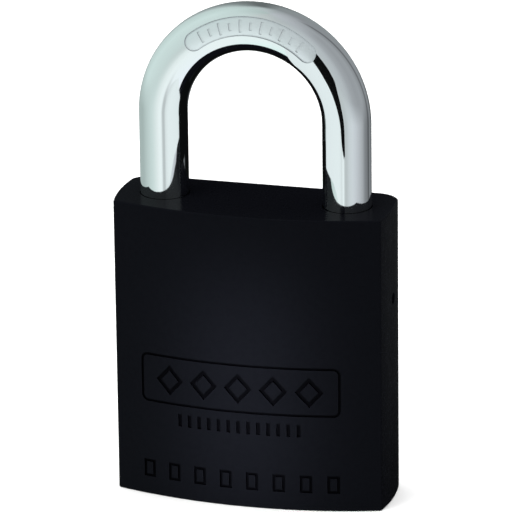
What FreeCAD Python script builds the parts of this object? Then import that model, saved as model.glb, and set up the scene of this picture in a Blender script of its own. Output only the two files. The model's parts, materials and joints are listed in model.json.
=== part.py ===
import FreeCAD, Part
import math
import os

os.makedirs("parts", exist_ok=True)
doc = FreeCAD.newDocument("disc_padlock")
V = FreeCAD.Vector
UP = V(0, 0, 1)
RIGHT = V(1, 0, 0)
FRONT = V(0, -1, 0)

# Driving sizes in mm. X runs across the lock, -Y is its front, Z = 0 is its underside.
# Every shape is drawn about the shackle's own plane, then the whole lock is moved so that
# the origin is the middle of the underside.
SIZES = {
    "body_height": 49.5,
    "front_half": 22.0,
    "back_half": 22.15,
    "front_edge": 6.0,
    "back_edge": 5.2,
    "front_bulge": 3.45,
    "back_bulge": 2.15,
    "side_bulge": 0.53,
    "back_flat_half": 18.6,
    "corner_round": 0.45,
    "rim_round": 0.3,
    "leg_dia": 7.85,
    "leg_spacing": 30.2,
    "leg_above": 13.75,
    "leg_bore_dia": 8.1,
    "toe_floor": 35.0,
    "toe_end": 36.0,
    "heel_floor": 8.0,
    "heel_end": 16.5,
    "lift": 15.0,
    "ball_dia": 7.0,
    "ball_height": 41.0,
    "ball_free": 7.4,
    "ball_locked": 9.64,
    "core_bore_dia": 12.5,
    "core_bore_top": 46.0,
    "housing_dia": 12.4,
    "housing_top": 30.0,
    "housing_reach": 16.5,
    "housing_wide": 6.5,
    "housing_inset": 0.25,
    "plug_dia": 9.94,
    "plug_bore_dia": 10.06,
    "plug_top": 25.0,
    "pin_dia": 2.5,
    "pin_first": 5.0,
    "pin_pitch": 4.0,
    "pin_bore_dia": 2.64,
    "side_pin_dia": 1.9,
    "side_pin_height": 34.4,
    "screw_x": 13.8,
    "screw_dia": 3.0,
    "marks_middle": -0.8,
    "mark_depth": 0.32,
    "panel_depth": 0.18,
}
BITTING = [4.2, 3.4, 4.6, 3.8, 3.0]

sheet = doc.addObject("Spreadsheet::Sheet", "sizes")
for row, (name, value) in enumerate(SIZES.items(), 1):
    sheet.set("A%d" % row, name)
    sheet.set("B%d" % row, "%g" % value)
    sheet.setAlias("B%d" % row, name)
doc.recompute()
S = SIZES
LEG_X = S["leg_spacing"] / 2
LEG_R = S["leg_dia"] / 2
BEND_Z = S["body_height"] + S["leg_above"]
FRONT_DEPTH = S["front_edge"] + S["front_bulge"]
BACK_DEPTH = S["back_edge"] + S["back_bulge"]
TO_MIDDLE = V(0, (FRONT_DEPTH - BACK_DEPTH) / 2, 0)
PANEL_RISE = 2.0
PANEL_RING = LEG_X - 1.0
PANEL_HALF = 1.5
PANEL_ENDS = (-39, 43)
made_nodes = []


def turned(axis):
    """The rotation that lays a primitive's own height along axis."""
    return FreeCAD.Rotation(UP, axis)


def cylinder(name, radius, height, base, axis=UP):
    """A cylinder whose radius and height are formulas on the size sheet."""
    made = doc.addObject("Part::Cylinder", name)
    made.setExpression("Radius", radius)
    made.setExpression("Height", height)
    made.Placement = FreeCAD.Placement(V(*base), turned(axis))
    return made


def ball(name, radius, centre):
    made = doc.addObject("Part::Sphere", name)
    made.setExpression("Radius", radius)
    made.Placement.Base = V(*centre)
    return made


def shaped(name, shape):
    """A feature that holds a shape made directly."""
    made = doc.addObject("Part::Feature", name)
    made.Shape = shape
    return made


def joined(name, pieces):
    made = doc.addObject("Part::MultiFuse", name)
    made.Shapes = pieces
    made.Refine = True
    return made


def less(name, base, tools):
    """The base with every tool cut away."""
    made = doc.addObject("Part::Cut", name)
    made.Base = base
    made.Tool = tools[0] if len(tools) == 1 else joined(name + "_tools", tools)
    made.Refine = True
    return made


def node(label, made):
    """Names a finished piece and moves it to its place in the whole lock."""
    made.Label = label
    made.Placement = FreeCAD.Placement(TO_MIDDLE, FreeCAD.Rotation()) * made.Placement
    made_nodes.append(made)
    return made


def disc(radius, low, high, x=0.0, y=0.0):
    return Part.makeCylinder(radius, high - low, V(x, y, low))


def block(x0, x1, y0, y1, z0, z1):
    return Part.makeBox(x1 - x0, y1 - y0, z1 - z0, V(x0, y0, z0))


def rounded_block(x0, x1, y0, y1, z0, z1, radius, axis="Z"):
    """A block whose four edges along one axis are rounded."""
    made = block(x0, x1, y0, y1, z0, z1)
    along = {"X": RIGHT, "Y": V(0, 1, 0), "Z": UP}[axis]
    edges = [e for e in made.Edges if abs(e.tangentAt(e.FirstParameter).dot(along)) > 0.9]
    return made.makeFillet(radius, edges)


def arc(a, b, c):
    return Part.Arc(V(*a), V(*b), V(*c)).toShape()


# The body


def front_arc(inset=0.0):
    """The front face's curve, moved inward by inset."""
    x = S["front_half"]
    y = -S["front_edge"] + inset
    return arc((-x, y, 0), (0, y - S["front_bulge"], 0), (x, y, 0))


def back_corner_arc(side):
    """The rounded run from the flat back to one rear corner, tangent to the flat."""
    run = S["back_half"] - S["back_flat_half"]
    drop = S["back_bulge"]
    radius = (run * run + drop * drop) / (2 * drop)
    centre_y = S["back_edge"] + drop - radius
    half = (math.pi / 2 + math.asin((radius - drop) / radius)) / 2
    flat = (side * S["back_flat_half"], S["back_edge"] + drop, 0)
    middle = (
        side * (S["back_flat_half"] + radius * math.cos(half)),
        centre_y + radius * math.sin(half),
        0,
    )
    corner = (side * S["back_half"], S["back_edge"], 0)
    return arc(flat, middle, corner)


def side_arc(side):
    mid_x = (S["front_half"] + S["back_half"]) / 2 + S["side_bulge"]
    mid_y = (S["back_edge"] - S["front_edge"]) / 2
    front = (side * S["front_half"], -S["front_edge"], 0)
    back = (side * S["back_half"], S["back_edge"], 0)
    return arc(front, (side * mid_x, mid_y, 0), back)


def body_block():
    """The solid block: curved front, flat back with rounded ends, fine rounded edges."""
    back_y = S["back_edge"] + S["back_bulge"]
    flat = Part.makeLine(
        V(-S["back_flat_half"], back_y, 0), V(S["back_flat_half"], back_y, 0)
    )
    edges = [front_arc(), side_arc(1), back_corner_arc(1), flat]
    edges += [back_corner_arc(-1), side_arc(-1)]
    outline = Part.Wire(Part.__sortEdges__(edges))
    solid = Part.Face(outline).extrude(V(0, 0, S["body_height"]))
    upright = [
        e
        for e in solid.Edges
        if abs(e.tangentAt(e.FirstParameter).z) > 0.9
        and abs(e.Vertexes[0].X) > S["back_flat_half"] + 1
    ]
    solid = solid.makeFillet(S["corner_round"], upright)
    level = [
        e
        for e in solid.Edges
        if e.BoundBox.ZLength < 0.01
        and min(abs(e.BoundBox.ZMin), abs(e.BoundBox.ZMin - S["body_height"])) < 0.01
    ]
    return solid.makeFillet(S["rim_round"], level)


def lozenge(x, z, wide, tall):
    """A flat diamond, stood upright in front of the body."""
    points = [V(x - wide, -20, z), V(x, -20, z - tall), V(x + wide, -20, z)]
    points += [V(x, -20, z + tall), V(x - wide, -20, z)]
    return Part.Face(Part.makePolygon(points)).extrude(V(0, 20, 0))


def plate_marks():
    """Plain marks for the front: a frame, five diamonds, a row of bars and one of boxes."""
    middle = S["marks_middle"]
    left, right = middle - 16.6, middle + 16.6
    outer = rounded_block(left, right, -20, 0, 16.2, 24.6, 1.2, "Y")
    inner = rounded_block(left + 0.4, right - 0.4, -21, 1, 16.6, 24.2, 0.8, "Y")
    marks = [outer.cut(inner)]
    for k in range(5):
        x = middle + (k - 2) * 5.8
        marks.append(lozenge(x, 20.4, 2.3, 2.6).cut(lozenge(x, 20.4, 1.45, 1.65)))
    for k in range(13):
        x = middle + (k - 6) * 1.65
        marks.append(block(x - 0.3, x + 0.3, -20, 0, 12.7, 14.8))
    for k in range(8):
        x = middle + (k - 3.5) * 4.4
        box = block(x - 1.0, x + 1.0, -20, 0, 3.1, 6.1)
        marks.append(box.cut(block(x - 0.55, x + 0.55, -21, 1, 3.55, 5.65)))
    return marks


def engraving():
    """The marks, sunk to one depth below the curved front."""
    near = front_arc(-1.0)
    deep = front_arc(S["mark_depth"])
    ends = [Part.makeLine(near.Vertexes[k].Point, deep.Vertexes[k].Point) for k in (0, 1)]
    skin = Part.Face(Part.Wire(Part.__sortEdges__([near, ends[1], deep, ends[0]])))
    skin = skin.extrude(V(0, 0, S["body_height"]))
    return Part.makeCompound([mark.common(skin) for mark in plate_marks()])


def lock_body():
    rough = shaped("body_block", body_block().cut(engraving()))
    slot = rounded_block(
        -S["housing_reach"] - 0.05, 2, -3.3, 3.3, -1, S["housing_top"] + 0.1, 1.5
    )
    bore = "sizes.leg_bore_dia / 2"
    tools = [
        cylinder("toe_bore", bore, "sizes.body_height", (-LEG_X, 0, S["toe_floor"])),
        cylinder("heel_bore", bore, "sizes.body_height", (LEG_X, 0, S["heel_floor"])),
        cylinder(
            "core_bore", "sizes.core_bore_dia / 2", "sizes.core_bore_top + 1", (0, 0, -1)
        ),
        cylinder(
            "ball_channel",
            "sizes.ball_dia / 2 + 0.1",
            "26.4",
            (-13.2, 0, S["ball_height"]),
            RIGHT,
        ),
        cylinder(
            "screw_way", "sizes.screw_dia / 2 + 0.1", "6", (-S["screw_x"], 0, 29.5)
        ),
        cylinder("screw_seat", "2.6", "3", (-S["screw_x"], 0, 33)),
        cylinder(
            "side_hole",
            "sizes.side_pin_dia / 2",
            "8",
            (17, 0, S["side_pin_height"]),
            RIGHT,
        ),
        shaped("housing_slot", slot),
    ]
    return less("lock_body_cut", rough, tools)


# The shackle


def bend_tube(radius):
    """A half ring of round bar that joins the two legs."""
    ring = Part.makeTorus(LEG_X, radius, V(0, 0, BEND_Z), FRONT)
    return ring.common(block(-40, 40, -20, 20, BEND_Z, BEND_Z + 40))


def panel_recess():
    """The shallow long panel that follows the bend, high on its front."""
    centre = V(0, -8, BEND_Z + PANEL_RISE)
    back = V(0, 1, 0)
    outer = Part.makeCylinder(PANEL_RING + PANEL_HALF, 8, centre, back)
    band = outer.cut(Part.makeCylinder(PANEL_RING - PANEL_HALF, 8, centre, back))
    rim = []
    for angle in PANEL_ENDS:
        turn = math.radians(angle)
        rim.append(V(math.sin(turn), 0, math.cos(turn)))
    corners = [centre, centre + rim[0] * 30, centre + V(0, 0, 45), centre + rim[1] * 30, centre]
    band = band.common(Part.Face(Part.makePolygon(corners)).extrude(V(0, 8, 0)))
    for way in rim:
        band = band.fuse(Part.makeCylinder(PANEL_HALF, 8, centre + way * PANEL_RING, back))
    shell = bend_tube(LEG_R + 0.5).cut(bend_tube(LEG_R - S["panel_depth"]))
    return band.common(shell)


def panel_ticks():
    """Plain upright ticks along the panel, long and short by turns."""
    centre = V(0, 0, BEND_Z + PANEL_RISE)
    deep = bend_tube(LEG_R + 0.5).cut(bend_tube(LEG_R - S["panel_depth"] - 0.14))
    ticks = []
    for k in range(11):
        tall = 0.95 - 0.35 * (k % 2)
        middle = centre.z + PANEL_RING
        tick = block(-0.22, 0.22, -8, 0, middle - tall, middle + tall)
        tick.rotate(centre, V(0, 1, 0), -33 + 7 * k)
        ticks.append(tick.common(deep))
    return Part.makeCompound(ticks)


def heel_grooves():
    """The long groove and the ring groove that the side pin runs in."""
    level = S["side_pin_height"] - S["lift"]
    half = S["side_pin_dia"] / 2 + 0.1
    ring = disc(LEG_R + 1, level - half, level + half, LEG_X)
    ring = ring.cut(disc(LEG_R - 1, level - 5, level + 5, LEG_X))
    inner = LEG_X + LEG_R - 1
    return ring.fuse(block(inner, inner + 3, -half, half, level, 36.0))


def shackle():
    straight = "sizes.body_height + sizes.leg_above - sizes."
    legs = [
        cylinder(end + "_leg", "sizes.leg_dia / 2", straight + end + "_end", (x, 0, S[end + "_end"]))
        for end, x in (("toe", -LEG_X), ("heel", LEG_X))
    ]
    bar = joined("shackle_bar", legs + [shaped("bend", bend_tube(LEG_R))])
    notch = "sizes.ball_dia / 2 + 0.1"
    tools = [
        ball("toe_notch", notch, (-S["ball_locked"], 0, S["ball_height"])),
        ball("heel_notch", notch, (S["ball_locked"], 0, S["ball_height"])),
        shaped("side_pin_grooves", heel_grooves()),
        shaped("bend_panel", panel_recess()),
        shaped("bend_ticks", panel_ticks()),
        shaped("toe_point", leg_end(-LEG_X, S["toe_end"])),
        shaped("heel_point", leg_end(LEG_X, S["heel_end"])),
    ]
    return less("shackle_cut", bar, tools)


def leg_end(x, level):
    """What a bevel takes off a leg's lower end."""
    ring = disc(LEG_R + 1, level - 0.5, level + 0.6, x)
    cone = Part.makeCone(LEG_R - 1.1, LEG_R, 1.1, V(x, 0, level - 0.5))
    return ring.cut(cone)


def coil(radius, wire, length, turns):
    """A round-wire coil along Z from its first turn's centre."""
    pitch = length / turns
    path = Part.Wire(Part.makeHelix(pitch, length, radius).Edges)
    way = V(0, radius, pitch / (2 * math.pi))
    section = Part.Wire([Part.makeCircle(wire / 2, V(radius, 0, 0), way)])
    return path.makePipeShell([section], True, True)


def shackle_spring():
    """The coil under the long leg."""
    wire = 0.9
    gap = 0.05
    length = S["heel_end"] - S["heel_floor"] - wire - 2 * gap
    made = shaped("shackle_coil", coil(2.75, wire, length, 5.5))
    made.Placement.Base = V(LEG_X, 0, S["heel_floor"] + wire / 2 + gap)
    return made


def side_pin():
    start = LEG_X + LEG_R - 0.88
    return cylinder(
        "side_pin",
        "sizes.side_pin_dia / 2",
        "3.6",
        (start, 0, S["side_pin_height"]),
        RIGHT,
    )


# The cylinder


def pin_heights():
    return [S["pin_first"] + k * S["pin_pitch"] for k in range(len(BITTING))]


def spring_hole(turn, low, high):
    """A hole for one straight end of the cam spring."""
    a = math.radians(turn)
    return disc(0.4, low, high, 5.2 * math.cos(a), 5.2 * math.sin(a))


def cover_strip():
    return rounded_block(
        -S["housing_reach"], -S["housing_reach"] + 1.2, -1.55, 1.55, 2.6, 23.4, 1.5, "X"
    )


def cylinder_housing():
    low = S["housing_inset"]
    top = S["housing_top"]
    half = S["housing_wide"] / 2
    barrel = cylinder(
        "housing_barrel",
        "sizes.housing_dia / 2",
        "sizes.housing_top - sizes.housing_inset",
        (0, 0, low),
    )
    arm = shaped(
        "housing_arm",
        rounded_block(-S["housing_reach"], 2, -half, half, low, top, 1.45),
    )
    tools = [
        cylinder("plug_bore", "sizes.plug_bore_dia / 2", "sizes.plug_top + 1.05", (0, 0, -1)),
        cylinder("flange_seat", "5.65", "2.35", (0, 0, -1)),
        cylinder("neck_way", "3.6", "8", (0, 0, 24)),
        cylinder("clip_seat", "4.75", "4", (0, 0, 27)),
        cylinder(
            "screw_hole", "sizes.screw_dia / 2", "8", (-S["screw_x"], 0, 23.6)
        ),
        shaped("cover_seat", cover_strip()),
        shaped("cam_spring_hole", spring_hole(0, 28.7, 31)),
    ]
    for k, z in enumerate(pin_heights(), 1):
        tools.append(
            cylinder(
                "housing_chamber_%d" % k,
                "sizes.pin_bore_dia / 2",
                "12.6",
                (-16.0, 0, z),
                RIGHT,
            )
        )
    return less("housing_cut", joined("housing_blank", [barrel, arm]), tools)


def plug():
    """The turning plug: face flange, barrel, neck with a clip groove, and drive tongue."""
    tongue = disc(3.4, 28.0, 33.9).common(block(-4, 4, -1.1, 1.1, 28.0, 34.0))
    pieces = [
        cylinder("plug_barrel", "sizes.plug_dia / 2", "sizes.plug_top - 0.4", (0, 0, 0.35)),
        cylinder("plug_flange", "5.6", "0.95", (0, 0, 0.35)),
        cylinder("plug_neck", "3.5", "4.4", (0, 0, 24)),
        shaped("plug_tongue", tongue),
    ]
    groove = disc(4.5, 27.05, 27.9).cut(disc(2.9, 26, 29))
    tools = [
        shaped("clip_groove", groove),
        shaped("keyway_blade", block(-3.8, 0.3, -1.0, 1.0, 0, 24.4)),
        shaped("keyway_ward", block(0.2, 4.3, -0.3, 1.2, 0, 24.4)),
    ]
    for k, z in enumerate(pin_heights(), 1):
        tools.append(
            cylinder(
                "plug_chamber_%d" % k, "sizes.pin_dia / 2 + 0.05", "6.4", (-6, 0, z), RIGHT
            )
        )
    for k, y in enumerate((-3.2, 3.2), 1):
        tools.append(cylinder("drill_pin_hole_%d" % k, "0.6", "9", (1.6, y, 0)))
    return less("plug_cut", joined("plug_blank", pieces), tools)


def drill_pins():
    """Two hard rods in the plug's face."""
    rods = [
        cylinder("drill_pin_%d" % k, "0.6", "8.2", (1.6, y, 0.8))
        for k, y in enumerate((-3.2, 3.2), 1)
    ]
    made = doc.addObject("Part::Compound", "drill_pin_pair")
    made.Links = rods
    return made


def plug_clip():
    """The open ring that holds the plug in the housing."""
    low, high = 27.1, 27.85
    ring = disc(4.6, low, high).cut(disc(2.95, low - 1, high + 1))
    return shaped("clip_ring", ring.cut(block(0, 6, -2.0, 2.0, low - 1, high + 1)))


def bar_x(x0, x1, bevel0, bevel1, z):
    """A round pin along X from x0 to x1 with a bevel at each end."""
    r = S["pin_dia"] / 2
    pieces = [
        Part.makeCone(r - bevel0, r, bevel0, V(x0, 0, z), RIGHT),
        Part.makeCylinder(r, x1 - x0 - bevel0 - bevel1, V(x0 + bevel0, 0, z), RIGHT),
        Part.makeCone(r, r - bevel1, bevel1, V(x1 - bevel1, 0, z), RIGHT),
    ]
    return pieces[0].multiFuse(pieces[1:]).removeSplitter()


def pin_stacks():
    """Key pin, driver pin and spring for each chamber, with the pins at the shear line."""
    for k, (z, length) in enumerate(zip(pin_heights(), BITTING), 1):
        key = bar_x(-4.9, -4.9 + length, 0.3, 0.6, z)
        driver = bar_x(-9.0, -5.06, 0.2, 0.2, z)
        node("key_pin_%d" % k, shaped("key_pin_shape_%d" % k, key))
        node("driver_pin_%d" % k, shaped("driver_pin_shape_%d" % k, driver))
        wire = 0.3
        made = shaped("pin_coil_%d" % k, coil(0.95, wire, 6.3 - wire - 0.1, 7))
        made.Placement = FreeCAD.Placement(V(-9.05 - wire / 2, 0, z), turned(V(-1, 0, 0)))
        node("pin_spring_%d" % k, made)


def cylinder_screw():
    x = -S["screw_x"]
    head = cylinder("screw_head", "2.5", "1.9", (x, 0, 33))
    shank = cylinder("screw_shank", "sizes.screw_dia / 2", "9.5", (x, 0, 24))
    tip = shaped("screw_slot", block(x - 3, x + 3, -0.4, 0.4, 34.1, 35.5))
    return less("screw_cut", joined("screw_blank", [head, shank]), [tip])


# The locking cam


def lobe_outline():
    """The cam's edge: a pocket for each ball, then a steady ramp up to a full lobe."""
    reach = S["ball_dia"] / 2 + 0.05
    free = S["ball_free"]
    rise = (S["ball_locked"] - free) / (math.pi / 2)

    def ramp(turn):
        r = free + rise * turn
        size = math.hypot(r, rise)
        out = r - reach * r / size
        along = reach * rise / size
        c, s = math.cos(turn), math.sin(turn)
        return V(out * c - along * s, out * s + along * c, 0)

    ramp_points = [ramp(math.pi / 2 * k / 12) for k in range(13)]
    rim = ramp_points[-1].Length
    cos_start = (rim * rim + free * free - reach * reach) / (2 * rim * free)
    start = -math.acos(cos_start)
    entry = V(rim * math.cos(start), rim * math.sin(start), 0)
    deepest = V(free - reach, 0, 0)
    top = math.atan2(ramp_points[-1].y, ramp_points[-1].x)
    middle = (top + math.pi + start) / 2
    spline = Part.BSplineCurve()
    spline.interpolate(ramp_points)
    half = [
        Part.Arc(entry, deepest, ramp_points[0]).toShape(),
        spline.toShape(),
        Part.Arc(
            ramp_points[-1], V(rim * math.cos(middle), rim * math.sin(middle), 0), -entry
        ).toShape(),
    ]
    other = [e.rotated(V(0, 0, 0), UP, 180) for e in half]
    return Part.Face(Part.Wire(Part.__sortEdges__(half + other)))


def control_cam():
    lobe = lobe_outline()
    lobe.translate(V(0, 0, 36.4))
    lobe = lobe.extrude(V(0, 0, 9.0))
    socket = block(-3.5, 3.5, -1.2, 1.2, 30, 34.0).common(disc(3.5, 30, 34.0))
    across = socket.rotated(V(0, 0, 0), UP, 90)
    socket = socket.fuse(across)
    for turn in (0, 180):
        wedge = Part.makeCylinder(3.5, 4.0, V(0, 0, 30), UP, 90)
        socket = socket.fuse(wedge.rotated(V(0, 0, 0), UP, turn))
    pieces = [
        shaped("cam_lobe", lobe),
        cylinder("cam_stem", "4.4", "7", (0, 0, 30.2)),
        cylinder("cam_boss", "2", "0.95", (0, 0, 45.0)),
    ]
    # the socket lets the tongue swing a quarter turn before it drives the cam
    tools = [
        shaped("cam_socket", socket),
        shaped("cam_leg_hole", spring_hole(120, 36, 38)),
    ]
    return less("cam_cut", joined("cam_blank", pieces), tools)


def cam_spring():
    """The coil that turns the cam back to locked, with a straight end each way."""
    turns = 4 + 1 / 3
    wire = 0.7
    start = 31.2
    length = turns * 0.9
    made = coil(5.2, wire, length, turns)
    made.translate(V(0, 0, start))
    end = math.radians(120)
    tail = V(5.2 * math.cos(end), 5.2 * math.sin(end), start + length)
    pieces = [
        Part.makeSphere(wire / 2, V(5.2, 0, start)),
        disc(wire / 2, 28.9, start, 5.2),
        Part.makeSphere(wire / 2, tail),
        disc(wire / 2, tail.z, 37.6, tail.x, tail.y),
    ]
    return shaped("cam_coil", made.multiFuse(pieces))


node("lock_body", lock_body())
node("shackle", shackle())
node("shackle_spring", shackle_spring())
node("shackle_retaining_pin", side_pin())
node("cylinder_housing", cylinder_housing())
node("chamber_cover", shaped("cover", cover_strip()))
node("plug", plug())
node("plug_drill_pins", drill_pins())
node("plug_clip", plug_clip())
pin_stacks()
node("cylinder_screw", cylinder_screw())
node("control_cam", control_cam())
node("cam_return_spring", cam_spring())
for label, side in (("ball_left", -1), ("ball_right", 1)):
    centre = (side * S["ball_free"], 0, S["ball_height"])
    node(label, ball(label + "_sphere", "sizes.ball_dia / 2", centre))

doc.recompute()
for thing in doc.Objects:
    if "Invalid" in thing.State or "Error" in thing.State:
        raise RuntimeError("bad state: " + thing.Name)
for made in made_nodes:
    shape = made.Shape
    if shape.isNull() or not shape.isValid():
        raise RuntimeError("bad shape: " + made.Label)
    print(made.Label, len(shape.Solids), round(shape.Volume, 2))
    shape.exportStep("parts/" + made.Label + ".step")
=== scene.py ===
import json
import math

import bpy
from mathutils import Matrix, Vector


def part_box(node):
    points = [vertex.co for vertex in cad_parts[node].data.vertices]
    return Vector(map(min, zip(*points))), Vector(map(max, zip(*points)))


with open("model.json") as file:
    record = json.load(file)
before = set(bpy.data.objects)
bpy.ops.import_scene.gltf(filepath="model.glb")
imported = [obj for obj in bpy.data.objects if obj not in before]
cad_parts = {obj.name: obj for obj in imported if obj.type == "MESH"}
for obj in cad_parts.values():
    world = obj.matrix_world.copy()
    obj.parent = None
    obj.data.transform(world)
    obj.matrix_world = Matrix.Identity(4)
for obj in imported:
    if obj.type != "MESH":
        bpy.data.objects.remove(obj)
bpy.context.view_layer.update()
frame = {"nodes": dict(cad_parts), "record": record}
MM = 0.001

body = frame["nodes"]["lock_body"]
body_low, body_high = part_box("lock_body")
shackle = frame["nodes"]["shackle"]
shackle_low, shackle_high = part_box("shackle")

BODY_TOP = body_high.z
PLANE_Y = (shackle_low.y + shackle_high.y) / 2
LEG_RADIUS = (shackle_high.y - shackle_low.y) / 2
BEND_RADIUS = (shackle_high.x - shackle_low.x) / 2 - LEG_RADIUS
BEND_Z = shackle_high.z - BEND_RADIUS - LEG_RADIUS

# The curved front is an arc: half its width, and how far it bulges.
FRONT_HALF = 22.0 * MM
FRONT_BULGE = 3.45 * MM
FRONT_RADIUS = (FRONT_HALF**2 + FRONT_BULGE**2) / (2 * FRONT_BULGE)


# Materials

COATING = (0.0025, 0.0027, 0.0039)
COATING_SHEEN = (0.82, 0.9, 1.0, 1.0)

# Scale, detail and stretch of a noise, then the strength and the height in metres of its relief.
TURNED = (300.0, 5.0, (1, 1, 8), 0.08, 0.00005)
GROUND = (700.0, 4.0, (1, 1, 3), 0.06, 0.00004)


def principled(name, colour, metallic=0.0, roughness=0.5):
    """A new material, with its node tree and its shader."""
    material = bpy.data.materials.new(name)
    material.use_nodes = True
    shader = material.node_tree.nodes["Principled BSDF"]
    shader.inputs["Base Color"].default_value = (*colour, 1.0)
    shader.inputs["Metallic"].default_value = metallic
    shader.inputs["Roughness"].default_value = roughness
    material.diffuse_color = (*colour, 1.0)
    return material, material.node_tree, shader


def noise(tree, scale, detail=4.0, stretch=(1, 1, 1)):
    """Noise in object space, stretched along an axis where asked."""
    place = tree.nodes.new("ShaderNodeTexCoord")
    mapping = tree.nodes.new("ShaderNodeMapping")
    mapping.inputs["Scale"].default_value = stretch
    texture = tree.nodes.new("ShaderNodeTexNoise")
    texture.inputs["Scale"].default_value = scale
    texture.inputs["Detail"].default_value = detail
    tree.links.new(place.outputs["Object"], mapping.inputs["Vector"])
    tree.links.new(mapping.outputs["Vector"], texture.inputs["Vector"])
    return texture.outputs["Fac"]


def vary_roughness(tree, shader, source, low, high):
    """Roughness from low to high as the source goes from 0.35 to 0.65."""
    span = tree.nodes.new("ShaderNodeMapRange")
    span.inputs["From Min"].default_value = 0.35
    span.inputs["From Max"].default_value = 0.65
    span.inputs["To Min"].default_value = low
    span.inputs["To Max"].default_value = high
    tree.links.new(source, span.inputs["Value"])
    tree.links.new(span.outputs["Result"], shader.inputs["Roughness"])


def bump(tree, shader, source, strength, distance):
    """Fine relief from a texture."""
    relief = tree.nodes.new("ShaderNodeBump")
    relief.inputs["Strength"].default_value = strength
    relief.inputs["Distance"].default_value = distance
    tree.links.new(source, relief.inputs["Height"])
    tree.links.new(relief.outputs["Normal"], shader.inputs["Normal"])


def coating(name, ior, low, high, relief=0.0):
    """Black coating with a fine grain in its gloss."""
    material, tree, shader = principled(name, COATING, 0.0, 0.3)
    shader.inputs["IOR"].default_value = ior
    shader.inputs["Specular Tint"].default_value = COATING_SHEEN
    grain = noise(tree, 900.0, 3.0)
    vary_roughness(tree, shader, grain, low, high)
    if relief:
        bump(tree, shader, grain, relief, 0.00004)
    return material


def shaded_mark_coating():
    """The coating down in the front marks, painted darker as shade in the recesses, and with less
    gloss.
    """
    material, tree, shader = principled("mark_recess_painted_shade", (0.0009, 0.0009, 0.0014), 0.0, 0.5)
    shader.inputs["IOR"].default_value = 1.06
    return material


def shackle_plating():
    """Polished plating, very slightly smeared."""
    material, tree, shader = principled("shackle_plating", (0.88, 0.89, 0.9), 1.0, 0.05)
    vary_roughness(tree, shader, noise(tree, 120.0, 2.0), 0.04, 0.07)
    return material


def panel_matte():
    """The blasted floor of the panel on the bend."""
    material, tree, shader = principled("shackle_panel", (0.93, 0.94, 0.96), 1.0, 0.5)
    bump(tree, shader, noise(tree, 2500.0, 3.0), 0.25, 0.00005)
    return material


def metal(name, colour, low, high, finish):
    """Bare metal whose roughness and relief follow its machining marks."""
    scale, detail, stretch, strength, distance = finish
    material, tree, shader = principled(name, colour, 1.0, high)
    grain = noise(tree, scale, detail, stretch)
    vary_roughness(tree, shader, grain, low, high)
    bump(tree, shader, grain, strength, distance)
    return material


MATERIALS = {
    "body_black": coating("body_coating", 1.08, 0.24, 0.32, relief=0.02),
    "shackle_chrome": shackle_plating(),
    "brass": metal("housing_brass", (0.72, 0.52, 0.24), 0.22, 0.36, TURNED),
    "plug_brass": metal("plug_brass", (0.76, 0.57, 0.29), 0.18, 0.3, TURNED),
    "pin_brass": metal("pin_brass", (0.78, 0.6, 0.33), 0.12, 0.22, TURNED),
    "hard_steel": metal("hard_steel", (0.4, 0.4, 0.42), 0.25, 0.4, GROUND),
    "ball_steel": metal("ball_steel", (0.8, 0.8, 0.82), 0.06, 0.1, GROUND),
    "spring_steel": metal("spring_steel", (0.52, 0.53, 0.55), 0.2, 0.35, GROUND),
}
SHARP_ANGLE = math.radians(28)

for part in frame["record"]["subparts"]:
    piece = frame["nodes"][part["node"]]
    piece.data.materials.clear()
    piece.data.materials.append(MATERIALS[part["material_slot"]])
    piece.data.shade_smooth()
    piece.data.set_sharp_from_angle(angle=SHARP_ANGLE)


# Faces of the shackle and the body that have a material of their own, by where they lie

PANEL_FLOOR, PANEL_SHADED_WALL = 1, 2
MARK_SHADE, DECK = 1, 2


def is_wall(face, out):
    """Whether a face stands across the way out of the solid, as the side of a cut does."""
    return abs(out.normalized().dot(face.normal)) < 0.7


def dress_panel():
    """Matte floor for the panel on the front of the bend, and walls painted darker as shade."""
    shackle.data.materials.append(panel_matte())
    # The darker metal on the panel's walls is painted shade in the recess.
    shackle.data.materials.append(principled("panel_edge_painted_shade", (0.42, 0.43, 0.45), 1.0, 0.4)[0])
    bend_middle = Vector((0, PLANE_Y, BEND_Z))
    for face in shackle.data.polygons:
        x, y, z = face.center
        if z < BEND_Z or y > PLANE_Y:
            continue
        reach = math.hypot(x, z - BEND_Z)
        bar_middle = Vector((x, 0, z - BEND_Z)) * (BEND_RADIUS / reach) + bend_middle
        out = face.center - bar_middle
        depth = LEG_RADIUS - out.length
        # Walls of the panel and its ticks take the darker metal, painted shade.
        if is_wall(face, out) and depth > 0.03 * MM:
            face.material_index = PANEL_SHADED_WALL
        elif depth > 0.1 * MM:
            face.material_index = PANEL_FLOOR


def dress_body():
    """Marks on the curved front painted darker as shade in their recesses, and a slightly duller
    flat top.
    """
    body.data.materials.append(shaded_mark_coating())
    body.data.materials.append(coating("body_deck", 1.05, 0.22, 0.28))
    arc_y = body_low.y + FRONT_RADIUS
    for face in body.data.polygons:
        x, y, z = face.center
        if z > BODY_TOP - 0.01 * MM and face.normal.z > 0.9:
            face.material_index = DECK
            continue
        if y > 0 or abs(x) > 20 * MM or not 2 * MM < z < 26 * MM:
            continue
        out = Vector((x, y - arc_y, 0))
        depth = FRONT_RADIUS - out.length
        shallowest = 0.05 * MM if is_wall(face, out) else 0.2 * MM
        # Faces down in the marks take the coating painted darker as shade.
        if shallowest < depth < 0.5 * MM:
            face.material_index = MARK_SHADE


dress_panel()
dress_body()


# Floor


def add_floor():
    bpy.ops.mesh.primitive_plane_add(size=12, location=(0, 0, 0))
    floor = bpy.context.object
    floor.name = "floor"
    material, tree, shader = principled("floor_white", (0.9, 0.9, 0.9), 0.0, 0.9)
    shader.inputs["Specular IOR Level"].default_value = 0.1
    floor.data.materials.append(material)
    floor.visible_glossy = False


add_floor()


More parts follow.
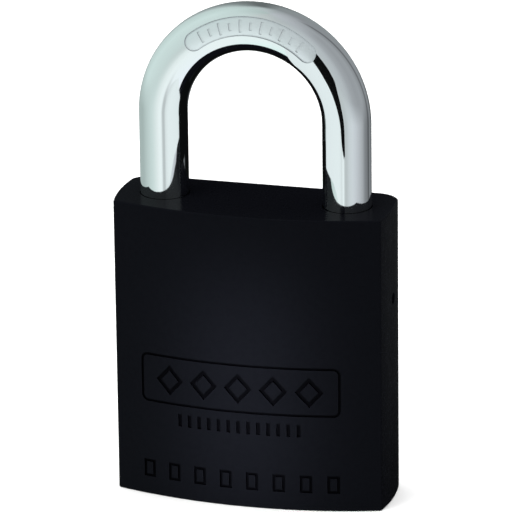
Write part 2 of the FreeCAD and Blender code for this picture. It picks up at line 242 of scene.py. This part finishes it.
# What polished faces mirror: a pale studio dome and a few cards, seen by reflections only

VIEW_AZIMUTH = math.radians(15.391)
DOME_RADIUS = 0.3
ZENITH = 0.56
CARD_BLACK = 0.004

# Level by azimuth in four bands of elevation. Azimuth 0 is towards the viewer, plus is right.
UNDER = [
    (-180, 0.01), (-150, 0.03), (-130, 0.4), (-110, 0.85), (-60, 1.0), (60, 1.0), (75, 0.15),
    (85, 0.01), (180, 0.01),
]
LOW = [
    (-180, 0.2), (-165, 0.4), (-146, 0.5), (-112, 0.52), (-89, 0.64), (-53, 0.8), (-37, 0.9),
    (-22, 1.0), (-14, 0.97), (-7, 0.6), (0, 0.6), (12, 0.7), (27, 0.73), (42, 0.66), (58, 0.56),
    (76, 0.44), (90, 0.27), (108, 0.2), (113, 0.1), (118, 0.1), (124, 0.24), (135, 0.24),
    (146, 0.08), (165, 0.08), (180, 0.2),
]
HIGH = [
    (-180, 0.16), (-168, 0.3), (-150, 0.7), (-110, 0.82), (-69, 0.76), (0, 0.6), (26, 0.54),
    (45, 0.42), (68, 0.36), (90, 0.38), (110, 0.3), (117, 0.12), (125, 0.3), (165, 0.3),
    (175, 0.16), (180, 0.16),
]
OVER = [
    (-180, 0.58), (-128, 0.74), (-60, 0.74), (0, 0.55), (86, 0.42), (160, 0.42), (180, 0.58),
]

# Red and blue by azimuth, as shares of the level.
RED = [
    (-180, 0.87), (-140, 0.81), (-60, 0.83), (-30, 0.9), (20, 0.91), (50, 0.93), (140, 0.93),
    (180, 0.87),
]
BLUE = [
    (-180, 1.0), (-140, 0.96), (-60, 0.97), (-10, 1.0), (40, 1.05), (140, 1.05), (180, 1.0),
]


def between(stops, value):
    """The value of a run of (place, level) stops, straight between them."""
    for (a, low), (b, high) in zip(stops, stops[1:]):
        if value <= b:
            share = min(max((value - a) / (b - a), 0.0), 1.0)
            return low + (high - low) * share
    return stops[-1][1]


def dome_colour(azimuth, elevation):
    """The dome's colour in one direction, in degrees."""
    under, low, high, over = (between(run, azimuth) for run in (UNDER, LOW, HIGH, OVER))
    stops = [(-32, under), (-22, low), (-12, low), (2, high), (55, high), (68, over), (88, ZENITH)]
    level = between(stops, elevation)
    return level * between(RED, azimuth), level, level * between(BLUE, azimuth), 1.0


def attribute_glow():
    """Light of the colour in a mesh's own shade attribute."""
    material = bpy.data.materials.new("studio_glow")
    material.use_nodes = True
    tree = material.node_tree
    tree.nodes.clear()
    out = tree.nodes.new("ShaderNodeOutputMaterial")
    glow = tree.nodes.new("ShaderNodeEmission")
    shade = tree.nodes.new("ShaderNodeAttribute")
    shade.attribute_name = "shade"
    tree.links.new(shade.outputs["Color"], glow.inputs["Color"])
    tree.links.new(glow.outputs["Emission"], out.inputs["Surface"])
    return material


GLOW = attribute_glow()


def reflections_only(thing):
    """Makes a mesh glow, for mirror-like rays alone."""
    thing.data.materials.append(GLOW)
    thing.visible_camera = False
    thing.visible_diffuse = False
    thing.visible_shadow = False
    thing.visible_transmission = False


def add_dome():
    bpy.ops.mesh.primitive_uv_sphere_add(
        segments=240, ring_count=120, radius=DOME_RADIUS, location=(0, 0, BODY_TOP)
    )
    dome = bpy.context.object
    dome.name = "studio_dome"
    shade = dome.data.color_attributes.new("shade", "FLOAT_COLOR", "POINT")
    for vertex in dome.data.vertices:
        x, y, z = vertex.co / DOME_RADIUS
        azimuth = math.degrees(math.atan2(x, -y) - VIEW_AZIMUTH)
        azimuth = (azimuth + 180) % 360 - 180
        elevation = math.degrees(math.asin(max(-1.0, min(1.0, z))))
        shade.data[vertex.index].color = dome_colour(azimuth, elevation)
    reflections_only(dome)


def add_card(name, corners, levels=None, faces=None):
    """A flat or folded card, in mm, with a grey level at each corner, or black if none is given."""
    levels = levels or [CARD_BLACK] * len(corners)
    mesh = bpy.data.meshes.new(name)
    mesh.from_pydata([Vector(c) * MM for c in corners], [], faces or [range(len(corners))])
    shade = mesh.color_attributes.new("shade", "FLOAT_COLOR", "POINT")
    for place, level in zip(shade.data, levels):
        place.color = (level * 0.9, level, level, 1.0)
    card = bpy.data.objects.new(name, mesh)
    bpy.context.scene.collection.objects.link(card)
    reflections_only(card)


add_dome()

# Black cards that darken the inner side of the left leg, and the flat top between the legs.
add_card("gap_card", [(3, 1, 50), (3, 70, 50), (3, 70, 74), (3, 1, 73)])
add_card("low_card", [(-17, 12, 38), (3, 12, 38), (3, 12, 60), (-17, 12, 60)])

# A black strip whose mirror image runs down the right leg: up its left edge, down its right.
STREAK_Y = -29
streak = [(15, 50), (11, 52), (6, 57), (4.5, 60), (6.5, 66), (8, 71)]
streak += [(20, 85), (22, 76), (22, 71), (18, 65), (16.5, 60.5), (17.5, 54), (18.5, 50)]
add_card("streak_card", [(x, STREAK_Y, z) for x, z in streak])

# A bright folded card between the legs, which lights the side of each that faces it.
fold = [(5, -0.5, 54), (5, -9.5, 50.5), (5, -25, 42), (8, -60, 28)]
fold += [(8, -60, 90), (5, -25, 90), (5, -9.5, 80), (5, -0.5, 70)]
fold_levels = [0.9, 0.93, 0.94, 0.78, 0.78, 0.94, 0.93, 0.9]
add_card("gap_reflector", fold, fold_levels, [(0, 1, 6, 7), (1, 2, 5, 6), (2, 3, 4, 5)])


# Lamps


def softbox(name, place, target, size, power):
    """An area light that faces a point and isn't mirrored."""
    light = bpy.data.lights.new(name, "AREA")
    light.shape = "RECTANGLE"
    light.size, light.size_y = size
    light.energy = power
    lamp = bpy.data.objects.new(name, light)
    bpy.context.scene.collection.objects.link(lamp)
    lamp.location = place
    lamp.rotation_euler = (Vector(target) - Vector(place)).to_track_quat("-Z", "Y").to_euler()
    lamp.visible_glossy = False
    return lamp


def add_lamps():
    middle = (0, 0, BODY_TOP)
    softbox("key_light", (-0.35, -0.35, 0.55), middle, (0.4, 0.4), 3.0)
    softbox("top_light", (0.05, 0.1, 0.7), middle, (0.6, 0.6), 4.0)
    # A narrow beam that leaves a soft pale band on the black front.
    low_front = (0.0, 0.0, 0.018)
    beam = softbox("front_beam", (0.0, -0.12, 0.018), low_front, (0.016, 0.04), 0.007)
    beam.data.spread = math.radians(16)
    beam.visible_camera = False


def add_world():
    world = bpy.data.worlds.new("studio")
    bpy.context.scene.world = world
    world.use_nodes = True
    background = world.node_tree.nodes["Background"]
    background.inputs["Color"].default_value = (1, 1, 1, 1)
    background.inputs["Strength"].default_value = 0.85


add_lamps()
add_world()


# Camera

VIEW_ELEVATION = math.radians(19.736)
VIEW_ROLL = math.radians(-0.718)
VIEW_DISTANCE = 886.91 * MM
FRAME_SIZE = 512
FOCAL_LENGTH = 5386.77 / FRAME_SIZE
SENSOR = 36


def add_camera():
    """A long lens at the right of the front and a little above, as the object is seen."""
    azimuth = VIEW_AZIMUTH
    elevation = VIEW_ELEVATION
    roll = VIEW_ROLL
    back = Vector(
        (
            math.sin(azimuth) * math.cos(elevation),
            -math.cos(azimuth) * math.cos(elevation),
            math.sin(elevation),
        )
    )
    right = Vector((math.cos(azimuth), math.sin(azimuth), 0))
    up = back.cross(right)
    view_right = right * math.cos(roll) + up * math.sin(roll)
    view_up = up * math.cos(roll) - right * math.sin(roll)
    aim = Vector((0, PLANE_Y + 19.115 * MM, BODY_TOP / 2))
    place = aim - view_right * 5.238 * MM + view_up * 7.809 * MM + back * VIEW_DISTANCE
    data = bpy.data.cameras.new("camera")
    data.sensor_width = SENSOR
    data.lens = FOCAL_LENGTH * SENSOR
    data.clip_start = 0.01
    data.clip_end = 50
    camera = bpy.data.objects.new("camera", data)
    bpy.context.scene.collection.objects.link(camera)
    turn = Matrix((view_right, view_up, back)).transposed()
    camera.matrix_world = Matrix.Translation(place) @ turn.to_4x4()
    return camera


bpy.context.scene.camera = add_camera()
bpy.context.scene.view_settings.view_transform = "Standard"
